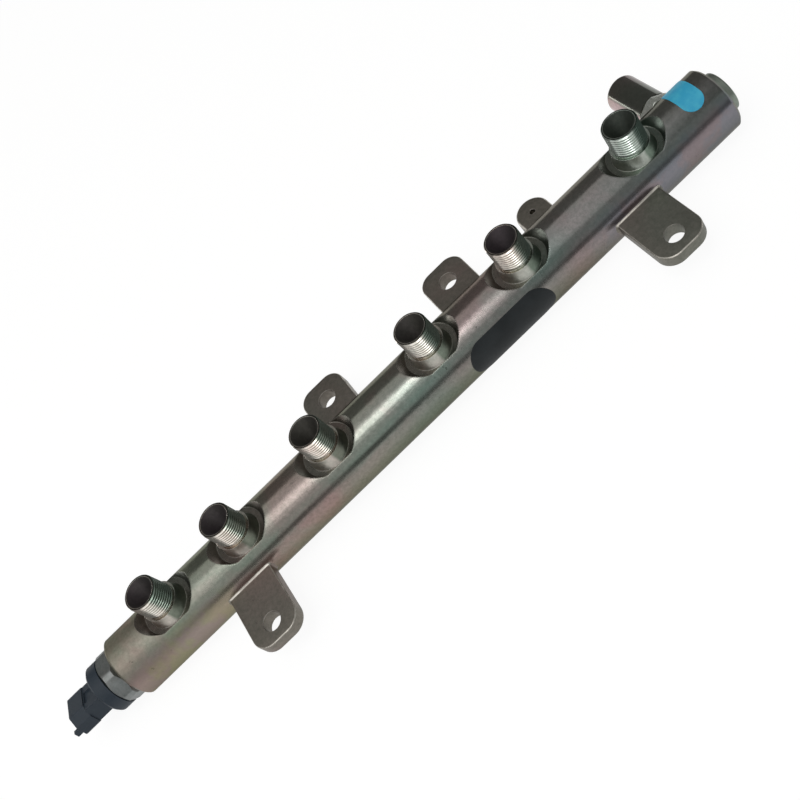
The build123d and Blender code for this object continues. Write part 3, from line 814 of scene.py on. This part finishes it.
# Relief valve seat, piston and shim: ground parts of hardened steel inside the valve.
# The piston slides in the body and lifts off the seat, and the shim sets the spring's load.
hardened_steel = plated_metal(
    "hardened steel",
    base=(0.52, 0.52, 0.53),
    warm=(0.52, 0.50, 0.48),
    cool=(0.50, 0.51, 0.53),
    roughness=0.22,
    clouds=90.0,
    specks=0.1,
)
for part in ("seat", "piston", "shim"):
    finish_node(f"relief_valve_{part}", hardened_steel)


# Relief valve spring: a coil of hardened wire held between the piston's head and the shim.
# It shortens by as much as the piston lifts, while its outer end stays on the shim.
coil = made_object(merged_copy("relief_valve_spring"), "relief_valve_coil", [hardened_steel], crease=60)
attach(coil, "rail")
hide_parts("relief_valve_spring")
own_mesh(coil)


# End plug: turned steel, plated, with a low round head that has a hexagon socket in it.
# Its threaded stub, out of sight, screws into the end of the rail.
plug_steel = plated_metal(
    "plug plating",
    base=(0.34, 0.33, 0.29),
    warm=(0.36, 0.31, 0.28),
    cool=(0.28, 0.32, 0.28),
    roughness=0.42,
)
softened_copy("end_plug", "end_plug_head", plug_steel, 0.3 * MM)


# Oval label: a thin dark film, left bare.
# It is stuck on the near flank of the tube.
dark_label, tree, shader, place = surface("dark label film", 0.0, 0.5)
shader.inputs["Specular IOR Level"].default_value = 0.25
faded = spread(tree, noise(tree, place, 70.0), 0.4, 0.65)
film_colour = mixed(tree, faded, (0.018, 0.022, 0.024, 1), (0.028, 0.033, 0.036, 1))
tree.links.new(film_colour, shader.inputs["Base Color"])
raise_surface(tree, shader, noise(tree, place, 900.0), 0.01 * MM)
finish_node("oval_label", dark_label)


# Blue label: a thin blue film with round ends, left bare.
# It is stuck around the tube near the end plug.
blue_film, tree, shader, place = surface("blue label film", 0.0, 0.45)
faded = spread(tree, noise(tree, place, 260.0, detail=4.0), 0.42, 0.7)
film_colour = mixed(tree, faded, (0.045, 0.50, 0.80, 1), (0.08, 0.60, 0.85, 1))
tree.links.new(film_colour, shader.inputs["Base Color"])
raise_surface(tree, shader, noise(tree, place, 1200.0), 0.01 * MM)
finish_node("blue_label", blue_film)


# Stage: a pale floor under the rail and a plain world.
# Both are white to the camera, and the floor keeps a faint shadow.
FLOOR_SIZE = 4.0
FLOOR_GAP = 0.2 * MM
CAMERA_SHARE = 0.82
GLOSSY_SHARE = 0.5
FLOOR_GLOW = 1.12
WORLD_GREY = (0.18, 0.18, 0.175, 1)
floor_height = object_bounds()[0].z - FLOOR_GAP
floor_mesh = bmesh.new()
bmesh.ops.create_grid(floor_mesh, x_segments=1, y_segments=1, size=FLOOR_SIZE / 2)
bmesh.ops.translate(floor_mesh, verts=floor_mesh.verts, vec=(0, 0, floor_height))
paper, tree, shader, place = surface("pale floor", 0.0, 0.9)
shader.inputs["Base Color"].default_value = (0.86, 0.86, 0.85, 1)
seen = tree.nodes.new("ShaderNodeLightPath").outputs
glow = tree.nodes.new("ShaderNodeEmission")
blend = tree.nodes.new("ShaderNodeMixShader")
camera_share = figured(tree, "MULTIPLY", seen["Is Camera Ray"], CAMERA_SHARE)
glossy_share = figured(tree, "MULTIPLY", seen["Is Glossy Ray"], GLOSSY_SHARE)
glow.inputs["Strength"].default_value = FLOOR_GLOW
tree.links.new(figured(tree, "MAXIMUM", camera_share, glossy_share), blend.inputs["Fac"])
tree.links.new(shader.outputs["BSDF"], blend.inputs[1])
tree.links.new(glow.outputs["Emission"], blend.inputs[2])
tree.links.new(blend.outputs["Shader"], tree.nodes["Material Output"].inputs["Surface"])
floor = made_object(floor_mesh, "floor", [paper])

world = bpy.data.worlds.new("studio")
bpy.context.scene.world = world
world.use_nodes = True
tree = world.node_tree
seen = tree.nodes.new("ShaderNodeLightPath").outputs
sky = mixed(tree, seen["Is Camera Ray"], WORLD_GREY, (1, 1, 1, 1))
tree.links.new(sky, tree.nodes["Background"].inputs["Color"])


# Lamps: soft white panels overhead, and one low strip beyond the sensor's end.
# Each is a rectangle of a size in metres and a surface radiance, which gives its watts.
def lamp(name, place, target, size, radiance):
    """A rectangular lamp aimed at a point, which the camera doesn't see."""
    data = bpy.data.lights.new(name, "AREA")
    data.shape = "RECTANGLE"
    data.size, data.size_y = size
    data.energy = radiance * pi * size[0] * size[1]
    made = bpy.data.objects.new(name, data)
    bpy.context.scene.collection.objects.link(made)
    made.location = place
    made.rotation_mode = "QUATERNION"
    made.rotation_quaternion = (Vector(target) - Vector(place)).to_track_quat("-Z", "Y")
    made.visible_camera = False


def overhead(name, tilt, distance, x, size, radiance):
    """A lamp above the rail, tilted by degrees from straight up towards the near side."""
    place = (x, -distance * sin(radians(tilt)), distance * cos(radians(tilt)))
    lamp(name, place, (x, 0, 0), size, radiance)


overhead("key softbox", tilt=20.0, distance=1.6, x=-0.20, size=(0.40, 0.58), radiance=1.7)
overhead("bright band", tilt=15.5, distance=1.64, x=-0.70, size=(1.76, 0.86), radiance=0.64)
overhead("narrow strip", tilt=15, distance=1.6, x=-0.04, size=(0.08, 0.4), radiance=4.0)
overhead("left front panel", tilt=55, distance=1.6, x=-0.75, size=(1.7, 1.1), radiance=0.50)
overhead("right front panel", tilt=58, distance=1.6, x=0.6, size=(1.0, 0.9), radiance=0.20)
lamp("horizon strip", (-1.48, 1.35, 0.02), (0.17, 0.05, 0), size=(1.2, 0.14), radiance=5.0)
lamp("ceiling panel", (-0.62, -0.165, 1.7), (-0.62, -0.165, 0), size=(2.55, 2.65), radiance=0.52)


# Camera: it looks down on the rail from the near side, turned so that the rail rises
# from lower left to upper right. Pixels count on an 800 by 800 image.
IMAGE_SIZE = 800
FOCAL_PIXELS = 1121
CENTRE_PIXEL = (431.5, 401.3)
SENSOR_WIDTH = 36
NEAR_CLIP = 0.01
CAMERA_PLACE = Vector((34.4, -359.4, 408.3)) * MM
CAMERA_TARGET = Vector((1.5, -12.9, 0.0)) * MM
CAMERA_ROLL = radians(-48.24)
camera_data = bpy.data.cameras.new("camera")
camera_data.sensor_width = SENSOR_WIDTH
camera_data.lens = SENSOR_WIDTH * FOCAL_PIXELS / IMAGE_SIZE
camera_data.shift_x = (IMAGE_SIZE / 2 - CENTRE_PIXEL[0]) / IMAGE_SIZE
camera_data.shift_y = (CENTRE_PIXEL[1] - IMAGE_SIZE / 2) / IMAGE_SIZE
camera_data.clip_start = NEAR_CLIP
camera = bpy.data.objects.new("camera", camera_data)
bpy.context.scene.collection.objects.link(camera)
camera.location = CAMERA_PLACE
camera.rotation_mode = "QUATERNION"
look = (CAMERA_TARGET - CAMERA_PLACE).to_track_quat("-Z", "Y")
camera.rotation_quaternion = look @ Quaternion((0, 0, 1), CAMERA_ROLL)
bpy.context.scene.camera = camera
bpy.context.scene.view_settings.view_transform = "Standard"
